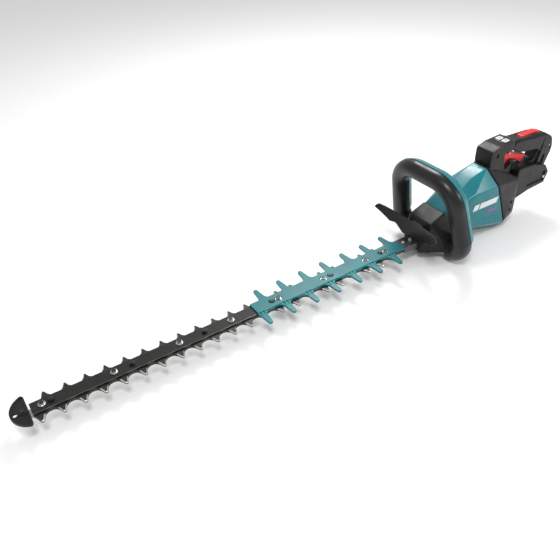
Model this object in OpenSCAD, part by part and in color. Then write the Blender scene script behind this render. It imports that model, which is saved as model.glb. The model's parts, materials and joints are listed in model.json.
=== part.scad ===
// Cordless double-sided hedge trimmer: long shear blades at -X, loop handle in the
// middle, D handle and battery bay at +X. Base rests on z = 0, millimetres.

/* [Blade] */
// Height of the shearing plane above the base
blade_z = 35; // [35:0.5:44]
// Distance between neighbouring teeth on one side
tooth_pitch = 33.5; // [26:0.5:40]
// Number of teeth on each side of a shear blade
tooth_count = 22; // [10:1:24]
// Reach of a tooth tip from the centre line
tooth_reach = 30; // [26:0.5:36]
// Half the width of a tooth at its root
tooth_root = 8.5; // [7:0.5:10]
// Half the width of a tooth at its tip
tooth_tip = 2.2; // [1:0.1:4]
// Thickness of one shear blade
blade_t = 2.5; // [2:0.1:3]
// Width of the guide bar and of the shear blades between their teeth
bar_w = 26; // [24:0.5:30]
// Thickness of the guide bar
bar_t = 3; // [2:0.1:3.6]
// Throw of the cranks: a shear blade travels this far each way
throw = 8.4; // [6:0.1:8.6]
// Gap between parts that slide on each other
slide_gap = 0.3; // [0.2:0.05:0.4]

/* [Blade cover and tip guard] */
// Length of the blunt-toothed cover
cover_len = 347; // [200:1:400]
// Number of blunt prongs on each side of the cover
prong_count = 7; // [3:1:7]
// Distance between neighbouring prongs
prong_pitch = 50.5; // [40:0.5:54]
// Reach of a prong tip from the centre line
prong_reach = 48; // [42:0.5:56]
// Half the width of a prong near its tip
prong_tip = 4.4; // [3:0.1:5]
// Half the width of the tip guard across the tool
tip_guard_w = 35; // [30:0.5:42]
// Length of the tip guard along the tool
tip_guard_len = 28; // [24:0.5:34]

/* [Drive] */
// Teeth on the crank gear
gear_teeth = 50; // [44:1:52]
// Teeth on the motor pinion
pinion_teeth = 11; // [10:1:13]
// Gear module
gear_module = 1.5; // [1.3:0.05:1.55]
// Face width of the gears
gear_w = 9; // [7:0.5:10]
// Radius of the crank shaft
shaft_r = 6; // [5:0.1:6.5]
// Radial running clearance of shafts and rod eyes
run_gap = 0.05; // [0.02:0.01:0.08]
// Length from crank to blade pin
rod_len = 33; // [30:0.5:36]
// Outer radius of the motor stator
stator_r = 27; // [22:0.5:27]
// Length of the motor stator
stator_len = 34; // [24:0.5:36]

/* [Loop handle] */
// Lean of the loop handle towards the blade, degrees
loop_lean = 14; // [8:0.5:18]
// Half the width of the loop between the tube centres at hand height
loop_w = 88; // [80:0.5:98]
// Height of the tube centre at the top of the loop
loop_h = 185; // [170:1:205]
// Radius of the loop handle's tube
loop_r = 18.5; // [15:0.5:19]
// Radius of the loop's upper corners on the tube centre line
loop_corner = 52; // [40:1:56]

/* [Housings] */
// Half the width of the motor housing
body_w = 44; // [40:0.5:50]
// Wall thickness of the housings
wall = 3; // [2.2:0.1:3.4]
// Height of the motor housing at the seam
seam_h = 158; // [150:0.5:166]
// Lean of the seam between the motor housing and the rear housing, degrees
seam_lean = 22; // [18:0.5:24]
// Half the width of the rear grip
grip_w = 18; // [16:0.5:21]
// Half the width inside the battery bay
bay_w = 27; // [24:0.5:28]

/* [Controls] */
// Half the width of the trigger
trigger_w = 9; // [6:0.5:11]
// Half the width of the lock-off lever
lever_w = 8; // [6:0.5:9]
// Radius of the pivot pins
pin_r = 2; // [1.5:0.1:2.2]
// Gap around the buttons, the trigger and the lever
button_gap = 0.4; // [0.3:0.05:0.5]

/* [Hidden] */
$fn = 48;
eps = 0.01;
hull_fn = 32;

teal = [0.06, 0.47, 0.5];
black = [0.13, 0.13, 0.13];
dark = [0.2, 0.2, 0.2];
steel = [0.68, 0.68, 0.7];
red = [0.8, 0.13, 0.1];

// blade set, along X
last_tooth_x = -136.5;
first_tooth_x = last_tooth_x - (tooth_count - 1) * tooth_pitch;
bar_tip_x = first_tooth_x - 10;
bar_end_x = -58;
blade_tip_x = first_tooth_x - 1;
cover_rear_x = -103;
cover_front_x = cover_rear_x - cover_len;
pin_x = -rod_len;
blade_end_x = pin_x + 7;

// blade set, heights
lower_z = blade_z - slide_gap / 2 - blade_t;
upper_z = blade_z + slide_gap / 2;
bar_z = upper_z + blade_t + slide_gap;
bar_top = bar_z + bar_t;
head_z = lower_z - slide_gap;

// fasteners through the blade set
bolt_r = 2.5;
sleeve_r = 4.6;
flange_r = 6.2;
nut_r = 5;
nut_h = 4.6;
head_h = 3.2;
slot_half = throw + slide_gap + 0.1;
tip_nuts = [for (k = [0, 3.5, 7, 10]) bar_tip_x + 17.5 + k * tooth_pitch];
cover_nut_step = (cover_len - 90) / 2.5;
cover_nuts = [for (k = [0, 1, 2, 2.5]) cover_front_x + 52.5 + k * cover_nut_step];
lock_x = concat([for (x = tip_nuts) if (x < cover_front_x - 12) x], cover_nuts);
tip_guides = [for (k = [0, 4, 8]) bar_tip_x + 32.2 + k * tooth_pitch];
cover_guides = [
    cover_front_x + 38,
    cover_front_x + 38 + 1.3 * cover_nut_step,
    cover_nuts[3] - 12.5
];
guide_x = concat([for (x = tip_guides) if (x < cover_front_x - 12) x], cover_guides);
bolt_x = concat(lock_x, guide_x);

// blade cover
cover_t = 3.4;
cover_skirt = 2;
cover_gap = 0.05;
cover_top = bar_top + cover_t;
cover_w = bar_w + 2 * cover_skirt;
prong_z = bar_z + 0.1;
prong_t = 4.6;
prong_skew = 22;
prong_x0 = cover_front_x + 8;

// drive
gear_r = gear_module * gear_teeth / 2;
pinion_r = gear_module * pinion_teeth / 2;
motor_x = gear_module * (gear_teeth + pinion_teeth) / 2;
tooth_add = gear_module;
tooth_ded = 1.25 * gear_module;
mesh_gap = 0.12;
cam_r = throw + shaft_r + 1.6;
rod_ring = 5;
rod_t = 6;
pin_big = 4;
pin_stand = 1;
upper_rod_z = upper_z + blade_t + pin_stand + 0.4;
lower_rod_z = lower_z - pin_stand - 0.4 - rod_t;
gear_z = upper_rod_z + rod_t + 1.5;
boss_floor = 4;
case_floor_z = 17.5;
floor_t = 4;
bearing_h = 8;
bearing_r = 14;
crank_lower_bearing_z = boss_floor + 1;
crank_upper_bearing_z = gear_z + gear_w + 1.5;
case_split = gear_z - 1;
case_top = crank_upper_bearing_z + bearing_h + 2;
case_wall = 3.5;
case_roof_z = gear_z + gear_w + 5;
case_r = gear_r + tooth_add + 1.2;

// motor
motor_shaft_r = 4;
motor_bearing_r = 11;
motor_bearing_h = 7;
motor_low_bearing_z = gear_z + gear_w + 1.5;
fan_z = case_top + 1.5;
fan_h = 7;
fan_r = stator_r - 2;
stator_z = fan_z + fan_h + 2;
rotor_r = stator_r * 0.52;
air_gap = 0.5;
bracket_z = stator_z + stator_len + 1;
bracket_h = motor_bearing_h + 2;
motor_top = bracket_z + bracket_h - 1;

// seam between motor housing and rear housing
seam_x = 107;
seam_len = seam_h / cos(seam_lean) - 1.2;
gasket_t = 3;
top_w = 18;
function seam_at(z) = seam_x + (seam_h - z) * tan(seam_lean);

// rear handle
panel_h = 197;

// ---------- helpers ----------

// rounded rectangle, centred
function rounded(w, h, r, n = 5) = [
    for (c = [[1, 1, 0], [-1, 1, 90], [-1, -1, 180], [1, -1, 270]])
    for (i = [0:n])
    [c[0] * (w / 2 - r) + r * cos(c[2] + 90 * i / n), c[1] * (h / 2 - r) + r * sin(c[2] + 90 * i / n)]
];

// arc of points about a centre
function arc(c, r, a0, a1, n = 8) = [
    for (i = [0:n])
    let (a = a0 + (a1 - a0) * i / n)
    c + r * [cos(a), sin(a)]
];

// outline rounded at each corner: points are [x, y, radius]
function unit(v) = v / norm(v);
function soft(p, n = 5) = [
    for (i = [0:len(p) - 1])
    let (
        q = [p[i][0], p[i][1]],
        a = p[(i + len(p) - 1) % len(p)],
        b = p[(i + 1) % len(p)],
        u = unit([a[0], a[1]] - q),
        v = unit([b[0], b[1]] - q),
        half = acos(max(-1, min(1, u * v))) / 2,
        t = p[i][2] / tan(half),
        c = half > 89 ? q : q + unit(u + v) * p[i][2] / sin(half),
        s = q + u * t - c,
        e = q + v * t - c,
        a0 = atan2(s[1], s[0]),
        turn = ((atan2(e[1], e[0]) - a0 + 540) % 360) - 180
    )
    each p[i][2] <= 0 || half > 89
        ? [q]
        : [for (k = [0:n]) c + p[i][2] * [cos(a0 + turn * k / n), sin(a0 + turn * k / n)]]
];

// side profile in X and Z, spread over a width in Y
module side(points, y0, y1) {
    translate([0, y1, 0])
        rotate([90, 0, 0])
            linear_extrude(y1 - y0)
                polygon(points);
}

// plate in the Y-Z plane, with its middle at pos
module plate_x(pos, w, h, r, t = 1) {
    translate(pos)
        rotate([90, 0, 90])
            linear_extrude(t)
                polygon(rounded(w, h, r));
}

module box(x, y, z) {
    translate([x[0], y[0], z[0]])
        cube([x[1] - x[0], y[1] - y[0], z[1] - z[0]]);
}

module rod_z(x, y, z0, z1, r) {
    translate([x, y, z0])
        cylinder(h = z1 - z0, r = r);
}

module rod_y(x, z, y0, y1, r) {
    translate([x, y0, z])
        rotate([-90, 0, 0])
            cylinder(h = y1 - y0, r = r);
}

// rods on both sides, from the distance at[2] out to the distance end
module side_rods(at, end, r) {
    rod_y(at[0], at[1], -end, -at[2], r);
    rod_y(at[0], at[1], at[2], end, r);
}

module ring_z(x, y, z, h, r_out, r_in) {
    translate([x, y, z])
        difference() {
            cylinder(h = h, r = r_out);
            translate([0, 0, -1])
                cylinder(h = h + 2, r = r_in);
        }
}

module left_half() {
    intersection() {
        children();
        box([-150, 400], [-80, -0.01], [-20, 260]);
    }
}

module right_half() {
    intersection() {
        children();
        box([-150, 400], [0.01, 80], [-20, 260]);
    }
}

// ---------- blade set ----------

// corners of the teeth on one side of a shear blade, from the tip rearwards, as [x, y, radius]
gullet_r = min(10, (tooth_pitch / 2 - tooth_root - 0.3) * 1.4);
function tooth_row(x0) = [
    for (k = [0:tooth_count - 1])
    let (x = x0 + k * tooth_pitch)
    each [
        [x - tooth_root, bar_w / 2, k == 0 ? 0 : gullet_r], [x - tooth_tip, tooth_reach, 1.2],
        [x + tooth_tip, tooth_reach, 1.2], [x + tooth_root, bar_w / 2, k == tooth_count - 1 ? 0 : gullet_r]
    ]
];

// plan of a shear blade: a web with teeth on both sides and a narrow drive tongue
module shear_plan() {
    tongue_w = bar_w - 6;
    web_end = last_tooth_x + tooth_pitch;
    left = tooth_row(first_tooth_x);
    right = tooth_row(first_tooth_x + tooth_pitch / 2);
    polygon(soft(concat(
        [[blade_tip_x - tooth_root, -bar_w / 2, 0]],
        [for (p = left) [p[0], -p[1], p[2]]],
        [[web_end, -bar_w / 2, 3], [web_end, -tongue_w / 2, 0], [blade_end_x, -tongue_w / 2, 3]],
        [[blade_end_x, tongue_w / 2, 3], [web_end, tongue_w / 2, 0], [web_end, bar_w / 2, 3]],
        [for (i = [len(right) - 1:-1:0]) right[i]],
        [[blade_tip_x - tooth_root, bar_w / 2, 0]]
    ), 3));
}

module slots() {
    for (x = bolt_x)
        translate([x, 0]) {
            square([2 * slot_half, 2 * (sleeve_r + 0.3)], center = true);
            for (s = [-1, 1])
                translate([s * slot_half, 0])
                    circle(r = sleeve_r + 0.3);
        }
}

module shear_blade(z) {
    translate([0, 0, z])
        linear_extrude(blade_t)
            difference() {
                shear_plan();
                slots();
                translate([pin_x, 0])
                    circle(r = pin_big);
            }
}

module upper_shear_blade() {
    color(steel)
        shear_blade(upper_z);
}

module lower_shear_blade() {
    color(steel)
        shear_blade(lower_z);
}

module guide_bar() {
    color(dark)
        difference() {
            translate([bar_tip_x, -bar_w / 2, bar_z])
                cube([bar_end_x - bar_tip_x, bar_w, bar_t]);
            for (x = bolt_x)
                rod_z(x, 0, bar_z - 1, bar_top + 1, bolt_r);
            for (x = holder_bolts)
                rod_z(x, 0, bar_z - 1, bar_top + 1, bolt_r);
        }
}

module blade_bolts() {
    color(dark)
        for (x = bolt_x) {
            low = head_z - (x < bar_tip_x + 40 ? bracket_t : 0);
            rod_z(x, 0, low, bar_top + nut_h + 1, bolt_r);
            rod_z(x, 0, low - 1.2, low, flange_r);
            rod_z(x, 0, low - head_h, low - 1.2, 4.2);
        }
}

module bolt_sleeves() {
    color(steel)
        for (x = bolt_x)
            ring_z(x, 0, head_z, bar_z - head_z, sleeve_r, bolt_r);
}

module hex_nut(x, z, flange) {
    difference() {
        union() {
            if (flange)
                rod_z(x, 0, z, z + 1.4, flange_r);
            translate([x, 0, z])
                cylinder(h = nut_h, r = nut_r, $fn = 6);
        }
        rod_z(x, 0, z - 1, z + nut_h + 1, bolt_r);
    }
}

module lock_nuts() {
    color(steel)
        for (x = lock_x)
            hex_nut(x, bar_top, true);
}

module guide_nuts() {
    color(black)
        for (x = guide_x)
            hex_nut(x, bar_top, false);
}

// plan of one blunt prong pointing to +Y
function prong(x) = concat(
    [[x - 17, cover_w / 2 - 4]],
    arc([x - 17, cover_w / 2 + 11], 11, -90, -12, 5),
    arc([x, prong_reach - prong_tip], prong_tip, 180, 0, 8),
    arc([x + 17, cover_w / 2 + 11], 11, 192, 270, 5),
    [[x + 17, cover_w / 2 - 4]]
);

module prongs() {
    for (k = [0:prong_count - 1]) {
        x = prong_x0 + k * prong_pitch;
        mirror([0, 1])
            polygon(prong(x));
        polygon(prong(x + prong_skew));
    }
}

module cover_length() {
    intersection() {
        prongs();
        translate([cover_front_x, -prong_reach])
            square([cover_len, 2 * prong_reach]);
    }
}

module blade_cover() {
    inner_w = bar_w + 2 * cover_gap;
    color(teal)
        difference() {
            union() {
                box([cover_front_x, cover_rear_x], [-cover_w / 2, cover_w / 2], [prong_z, cover_top]);
                translate([0, 0, prong_z])
                    linear_extrude(prong_t)
                        cover_length();
            }
            box(
                [cover_front_x - 1, cover_rear_x + 1],
                [-inner_w / 2, inner_w / 2],
                [prong_z - 1, bar_top + cover_gap]
            );
            for (x = cover_nuts)
                rod_z(x, 0, bar_top - 1, cover_top + 1, flange_r + 0.6);
            for (x = cover_guides)
                rod_z(x, 0, bar_top - 1, cover_top + 1, nut_r + 1);
            for (k = [0:prong_count - 1])
                for (g = [-3.4, 3.4]) {
                    x = prong_x0 + k * prong_pitch;
                    box(
                        [x + g - 0.9, x + g + 0.9],
                        [-cover_w / 2 - 9, -cover_w / 2 + 0.8],
                        [prong_z + prong_t - 1.2, cover_top + 1]
                    );
                }
        }
}

// tip guard and its bracket
bracket_t = 2;
bracket_w = 20;
bracket_rear = bar_tip_x + 42;
tip_back = bar_tip_x - 3;
tip_front = tip_back - tip_guard_len;
guard_z = bar_z + 1;
guard_t = 3;
guard_rim = 2;
hub_r = 7.5;
boss_r = 3.6;
hub_x = blade_tip_x - tooth_root - throw - slide_gap - 0.2 - boss_r;
rivet_r = 2;
hang_x = tip_front + 7.5;
hang_r = 3.4;

// steel strip under the blades that reaches ahead of them and carries the tip guard
module tip_bracket() {
    color(steel)
        difference() {
            box([hub_x - hub_r, bracket_rear], [-bracket_w / 2, bracket_w / 2], [head_z - bracket_t, head_z]);
            for (x = [for (b = bolt_x) if (b < bar_tip_x + 40) b])
                rod_z(x, 0, head_z - bracket_t - 1, head_z + 1, bolt_r);
            rod_z(hub_x, 0, head_z - bracket_t - 1, head_z + 1, rivet_r);
        }
}

module guard_plan(r, inset) {
    intersection() {
        translate([r, 0])
            circle(r = r - inset, $fn = 96);
        polygon(rounded(2 * (tip_guard_len - inset), 2 * (tip_guard_w - inset), 8 - inset));
    }
}

// half-moon plate with a rim and a hub whose boss stands on the strip, ahead of the blades' travel
module tip_guard() {
    r = (tip_guard_w * tip_guard_w + tip_guard_len * tip_guard_len) / (2 * tip_guard_len);
    color(black)
        difference() {
            union() {
                translate([tip_front, 0, guard_z])
                    linear_extrude(guard_t)
                        guard_plan(r, 0);
                translate([tip_front, 0, guard_z + guard_t])
                    linear_extrude(guard_rim)
                        difference() {
                            guard_plan(r, 0);
                            guard_plan(r, 2.4);
                        }
                rod_z(hub_x, 0, guard_z, guard_z + guard_t + guard_rim, hub_r);
                rod_z(hub_x, 0, head_z, guard_z + 1, boss_r);
            }
            rod_z(hub_x, 0, head_z - 1, guard_z + guard_t + guard_rim + 1, rivet_r);
            rod_z(hang_x, 0, guard_z - 1, guard_z + guard_t + 1, hang_r);
        }
}

module guard_rivet() {
    color(dark) {
        rod_z(hub_x, 0, head_z - bracket_t, guard_z + guard_t + guard_rim, rivet_r);
        rod_z(hub_x, 0, head_z - bracket_t - 1.5, head_z - bracket_t, 4);
        rod_z(hub_x, 0, guard_z + guard_t + guard_rim, guard_z + guard_t + guard_rim + 1.2, 3.6);
    }
}

// ---------- gear case ----------

holder_bolts = [-92, -74];
case_front = -60;
rod_front = pin_x - throw - pin_big - 5;
case_screw_r = 2;
post_r = 4.4;
screw_head_r = 3.6;
rod_eye = pin_big + 4;
rod_space = 2 * throw + rod_eye + 0.7;
function case_r_out() = case_r + case_wall;
case_screws = [for (a = [100, 46, -100, -46]) (case_r_out() + 2.6) * [cos(a), sin(a)]];

// steel channel that carries the blade root into the gear case
holder_low = head_z - 3;
module blade_holder() {
    half_in = bar_w / 2 + 0.4;
    color([0.45, 0.45, 0.45])
        difference() {
            side([
                [cover_rear_x + 0.4, holder_low + 2], [cover_rear_x + 0.4, bar_top + 2.2],
                [rod_front - 0.5, bar_top + 2.2], [rod_front - 0.5, holder_low - 2],
                [case_front, holder_low - 2]
            ], -half_in - 2.6, half_in + 2.6);
            box([cover_rear_x - 1, case_front + 30], [-half_in, half_in], [head_z - 0.1, bar_z]);
            box(
                [cover_rear_x - 1, case_front + 30],
                [-bar_w / 2 - 0.05, bar_w / 2 + 0.05],
                [bar_z - 1, bar_top + 0.05]
            );
            for (x = holder_bolts)
                rod_z(x, 0, bar_z - 1, bar_top + 9, bolt_r);
        }
}

module holder_screws() {
    color(steel)
        for (x = holder_bolts) {
            rod_z(x, 0, bar_z, bar_top + 2.2, bolt_r);
            rod_z(x, 0, bar_top + 2.2, bar_top + 5, 4.4);
        }
}

module case_plan(grow) {
    circle(r = case_r + grow);
    translate([motor_x, 0])
        circle(r = motor_bearing_r + 3 + grow);
    translate([0, -motor_bearing_r - grow])
        square([motor_x, 2 * (motor_bearing_r + grow)]);
    translate([case_front + case_wall - grow, -17.5 - grow])
        square([60, 35 + 2 * grow]);
    translate([rod_front - grow, -rod_space - grow])
        square([throw + rod_eye + 20, 2 * (rod_space + grow)]);
}

module screw_posts(z0, z1) {
    for (p = case_screws)
        rod_z(p[0], p[1], z0, z1, post_r);
}

module gear_case_lower() {
    half_in = bar_w / 2 + 3.2;
    color([0.25, 0.25, 0.26])
        difference() {
            union() {
                translate([0, 0, case_floor_z])
                    linear_extrude(case_split - case_floor_z)
                        case_plan(case_wall);
                rod_z(0, 0, 0, case_floor_z + 1, bearing_r + case_wall);
                screw_posts(case_floor_z, case_split);
            }
            translate([0, 0, case_floor_z + floor_t])
                linear_extrude(case_split)
                    case_plan(0);
            box([case_front - 5, case_front + 30], [-half_in, half_in], [holder_low - 2.2, bar_top + 2.4]);
            rod_z(0, 0, crank_lower_bearing_z, case_split + 1, bearing_r);
            for (p = case_screws)
                rod_z(p[0], p[1], case_floor_z + floor_t, case_split + 1, case_screw_r);
        }
}

module gear_case_upper() {
    seat = motor_low_bearing_z + motor_bearing_h;
    color([0.28, 0.28, 0.29])
        difference() {
            union() {
                translate([0, 0, case_split])
                    linear_extrude(case_roof_z - 1 - case_split)
                        case_plan(case_wall);
                rod_z(0, 0, case_split, case_top, bearing_r + 3);
                rod_z(motor_x, 0, case_split, seat + 1, motor_bearing_r + 3);
                screw_posts(case_split, case_split + 6);
            }
            translate([0, 0, case_split - 1])
                linear_extrude(gear_z + gear_w + 2 - case_split)
                    case_plan(0);
            rod_z(0, 0, case_split, crank_upper_bearing_z + bearing_h, bearing_r);
            rod_z(motor_x, 0, case_split, seat + 2, motor_bearing_r);
            for (p = case_screws) {
                rod_z(p[0], p[1], case_split - 1, case_split + 7, case_screw_r);
                rod_z(p[0], p[1], case_split + 6, case_split + 20, screw_head_r + 0.3);
            }
        }
}

// ---------- cranks, rods and gears ----------

module gear_teeth_plan(teeth, pitch_r) {
    step = 360 / teeth;
    circle(r = pitch_r - tooth_ded);
    half_root = 90 / teeth + atan(tooth_ded * tan(20) / pitch_r);
    half_tip = 90 / teeth - atan(tooth_add * tan(20) / pitch_r) - mesh_gap / pitch_r * 57.3;
    half_pitch = 90 / teeth - mesh_gap / pitch_r * 57.3;
    for (k = [0:teeth - 1])
        rotate(k * step)
            polygon([
                (pitch_r - tooth_ded - 0.4) * [cos(half_root), -sin(half_root)],
                pitch_r * [cos(half_pitch), -sin(half_pitch)],
                (pitch_r + tooth_add - 0.1) * [cos(half_tip), -sin(half_tip)],
                (pitch_r + tooth_add - 0.1) * [cos(half_tip), sin(half_tip)],
                pitch_r * [cos(half_pitch), sin(half_pitch)],
                (pitch_r - tooth_ded - 0.4) * [cos(half_root), sin(half_root)]
            ]);
}

module crank_gear() {
    color(steel)
        translate([0, 0, gear_z])
            difference() {
                linear_extrude(gear_w)
                    gear_teeth_plan(gear_teeth, gear_r);
                translate([0, 0, -1])
                    cylinder(h = gear_w + 2, r = shaft_r);
                for (k = [0:5])
                    rotate(60 * k)
                        translate([gear_r * 0.58, 0, -1])
                            cylinder(h = gear_w + 2, r = gear_r * 0.15);
            }
}

module crank_shaft() {
    color([0.55, 0.55, 0.57]) {
        rod_z(0, 0, crank_lower_bearing_z, crank_upper_bearing_z + bearing_h, shaft_r);
        rod_z(0, throw, upper_rod_z, upper_rod_z + rod_t, cam_r);
        rod_z(0, -throw, lower_rod_z, lower_rod_z + rod_t, cam_r);
    }
}

// rod with a large eye on the cam and a small eye over the blade pin
module connecting_rod(side_y, z) {
    reach = [pin_x, -side_y * throw];
    half_shank = rod_eye - 2;
    translate([0, side_y * throw, z])
        linear_extrude(rod_t)
            difference() {
                union() {
                    circle(r = cam_r + run_gap + rod_ring);
                    translate(reach)
                        circle(r = rod_eye);
                    rotate(atan2(reach[1], reach[0]))
                        translate([0, -half_shank])
                            square([norm(reach), 2 * half_shank]);
                }
                circle(r = cam_r + run_gap);
                translate(reach)
                    circle(r = pin_big + run_gap);
            }
}

module upper_connecting_rod() {
    color([0.5, 0.5, 0.52])
        connecting_rod(1, upper_rod_z);
}

module lower_connecting_rod() {
    color([0.5, 0.5, 0.52])
        connecting_rod(-1, lower_rod_z);
}

module upper_drive_pin() {
    color(steel)
        rod_z(pin_x, 0, upper_z, upper_z + blade_t + pin_stand, pin_big);
}

module lower_drive_pin() {
    color(steel)
        rod_z(pin_x, 0, lower_z - pin_stand, lower_z + blade_t, pin_big);
}

module bearing(x, z, h, r_out, r_in) {
    mid = (r_out + r_in) / 2;
    ring_z(x, 0, z, h, r_out, mid + 1.2);
    ring_z(x, 0, z, h, mid - 1.2, r_in);
    ring_z(x, 0, z + h / 2 - 1, 2, mid + 1.2 + eps, mid - 1.2 - eps);
}

module crank_bearings() {
    color(steel)
        for (z = [crank_lower_bearing_z, crank_upper_bearing_z])
            bearing(0, z, bearing_h, bearing_r, shaft_r + run_gap);
}

module motor_bearings() {
    color(steel)
        for (z = [motor_low_bearing_z, bracket_z])
            bearing(motor_x, z, motor_bearing_h, motor_bearing_r, motor_shaft_r + run_gap);
}

module pinion() {
    color([0.55, 0.55, 0.57])
        translate([motor_x, 0, gear_z])
            rotate(180 + 180 / pinion_teeth)
                difference() {
                    linear_extrude(gear_w)
                        gear_teeth_plan(pinion_teeth, pinion_r);
                    translate([0, 0, -1])
                        cylinder(h = gear_w + 2, r = motor_shaft_r);
                }
}

module motor_shaft() {
    color(steel)
        rod_z(motor_x, 0, gear_z - 0.5, motor_top, motor_shaft_r);
}

module rotor() {
    color([0.4, 0.4, 0.42])
        ring_z(motor_x, 0, stator_z, stator_len, rotor_r, motor_shaft_r);
}

module fan() {
    color(black)
        translate([motor_x, 0, fan_z])
            difference() {
                union() {
                    cylinder(h = 1.6, r = fan_r);
                    cylinder(h = fan_h, r = motor_shaft_r + 3);
                    for (k = [0:10])
                        rotate(k * 360 / 11)
                            translate([motor_shaft_r + 2, -0.8, 0])
                                rotate(-12)
                                    cube([fan_r - motor_shaft_r - 4, 1.6, fan_h]);
                }
                translate([0, 0, -1])
                    cylinder(h = fan_h + 2, r = motor_shaft_r);
            }
}

module stator() {
    slot_count = 6;
    color([0.35, 0.33, 0.32])
        translate([motor_x, 0, stator_z])
            difference() {
                cylinder(h = stator_len, r = stator_r);
                translate([0, 0, -1])
                    cylinder(h = stator_len + 2, r = rotor_r + air_gap);
                for (k = [0:slot_count - 1])
                    rotate(30 + k * 360 / slot_count)
                        translate([rotor_r + (stator_r - rotor_r) * 0.42, 0, -1])
                            cylinder(h = stator_len + 2, r = (stator_r - rotor_r) * 0.28);
            }
}

module motor_bracket() {
    color([0.3, 0.3, 0.3])
        difference() {
            union() {
                rod_z(motor_x, 0, bracket_z, bracket_z + bracket_h, motor_bearing_r + 3);
                box([motor_x - 4, motor_x + 4], [-stator_r - 1, stator_r + 1], [bracket_z, bracket_z + 3]);
                for (s = [-1, 1])
                    rod_z(motor_x, s * (stator_r + 2), stator_z - 2, bracket_z + 3, 2.4);
            }
            rod_z(motor_x, 0, bracket_z - 1, bracket_z + motor_bearing_h, motor_bearing_r);
            rod_z(motor_x, 0, bracket_z - 1, bracket_z + bracket_h + 1, motor_shaft_r + 1);
            rod_z(motor_x, 0, stator_z - 10, bracket_z - 0.05, stator_r + 0.05);
        }
}

// ---------- front housing and hand guard ----------

nose_z = 86;
crown_z = 99;
skirt_z = 20;

// outer block of the black front housing
module nose_block(inset) {
    d = 2 * inset;
    hull() {
        plate_x([-50 + inset, 0, nose_z - 10 - inset], 64 - d, 20, 6);
        plate_x([-15, 0, crown_z - 15 - inset], 66 - d, 30, 8);
        plate_x([-66 + inset, 0, skirt_z + 13], 50 - d, 26 - inset, 5);
        plate_x([-8, 0, skirt_z + 22], 108 - d, 44 - inset, 8);
        plate_x([-28, 0, skirt_z + 15], 100 - d, 30 - inset, 5);
    }
    hull() {
        plate_x([-8, 0, skirt_z + 22], 108 - d, 44 - inset, 8);
        plate_x([-15, 0, crown_z - 15 - inset], 66 - d, 30, 8);
        plate_x([22, 0, skirt_z + 26], 90 - d, 50 - inset, 10);
    }
}

module front_housing() {
    half_in = bar_w / 2 + 3.6;
    color(black)
        difference() {
            union() {
                nose_block(0);
                for (s = [-1, 1])
                    rod_y(-14, 28, min(s * 40, s * 72), max(s * 40, s * 72), 15);
            }
            translate([0, 0, -1])
                linear_extrude(case_roof_z + 1.1)
                    case_plan(case_wall + 0.4);
            rod_z(0, 0, gear_z, case_top + 0.5, bearing_r + 3.6);
            rod_z(motor_x, 0, gear_z, case_top + 80, stator_r + 2);
            for (p = case_screws)
                rod_z(p[0], p[1], -1, case_split + 12, post_r + 1.1);
            box([-110, case_front + 8], [-half_in, half_in], [0, bar_top + 3]);
            intersection() {
                nose_block(wall);
                box([-80, 60], [-60, 60], [case_roof_z, 120]);
            }
            foot_seat();
        }
}

module hand_guard() {
    r = 142;
    mid_x = -62;
    t = 3.4;
    outline = soft([
        [0, 42, 0], [30, 44, 8], [47, 62, 5], [60, 62, 5], [89, 90, 3], [84, 98, 4], [45, 84, 30], [0, 78, 0]
    ]);
    color(black)
        difference() {
            union() {
                intersection() {
                    ring_z(mid_x - r, 0, 0, 120, r, r - t);
                    for (s = [0, 1])
                        mirror([0, s, 0])
                            translate([-160, 0, 0])
                                rotate([90, 0, 90])
                                    linear_extrude(160)
                                        polygon(outline);
                }
                box([mid_x - t, -52], [-14, 14], [74, 77.5]);
            }
            nose_gap();
            box([-80, -50], [-bar_w / 2 - 4, bar_w / 2 + 4], [0, bar_top + 3]);
        }
}

// front of the housing with a little clearance, cut out of the hand guard
module nose_gap() {
    translate([0.15, 0, 0])
        hull() {
            plate_x([-50.3, 0, nose_z - 10], 64.6, 20.6, 6);
            plate_x([-15, 0, crown_z - 15], 66.6, 30.6, 8);
            plate_x([-66.3, 0, skirt_z + 13], 50.6, 26.6, 5);
            plate_x([-8, 0, skirt_z + 22], 108.6, 44.6, 8);
            plate_x([-28, 0, skirt_z + 15], 100.6, 30.6, 5);
        }
}

module front_screws() {
    color(steel)
        for (p = case_screws) {
            rod_z(p[0], p[1], case_floor_z + floor_t, case_split + 6, case_screw_r);
            rod_z(p[0], p[1], case_split + 6, case_split + 9, screw_head_r);
        }
}

// ---------- loop handle ----------

// loop centre line, in the plane that leans towards the blade
loop_top = loop_h / cos(loop_lean);
loop_foot = (loop_r - 1) / cos(loop_lean);
loop_x0 = -3.5;
loop_wall = 4;
loop_back = 26;
loop_corner_at = [loop_w - 10 - loop_corner, loop_top - loop_corner];
foot_r = 46;
foot_at = [loop_w - foot_r, loop_foot + foot_r];
leg_turn = atan2(10, loop_corner_at[1] - foot_at[1]);
grip_split = 6;
foot_turn = 88;
foot_end_y = 53;
foot_screw = [-10.5, 28, loop_w + 1];

// stations of one half: [half width, height, turn of the path], up the foot, the leg and the corner
foot_path = [
    for (a = [foot_turn:-foot_turn / 8:0.1])
    [foot_at[0] + foot_r * cos(a), foot_at[1] - foot_r * sin(a), -a]
];
leg_low = [foot_at[0] + foot_r, foot_at[1]];
leg_high = loop_corner_at + loop_corner * [cos(leg_turn), sin(leg_turn)];
leg_path = [for (k = [0:0.25:1]) concat(leg_low + (leg_high - leg_low) * k, leg_turn)];
corner_path = concat(
    [for (a = [leg_turn + 8:8:89]) concat(loop_corner_at + loop_corner * [cos(a), sin(a)], a)],
    [[loop_corner_at[0], loop_top, 90]]
);
function mirrored(half) = [for (i = [len(half) - 1:-1:0]) [-half[i][0], half[i][1], 180 - half[i][2]]];

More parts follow.
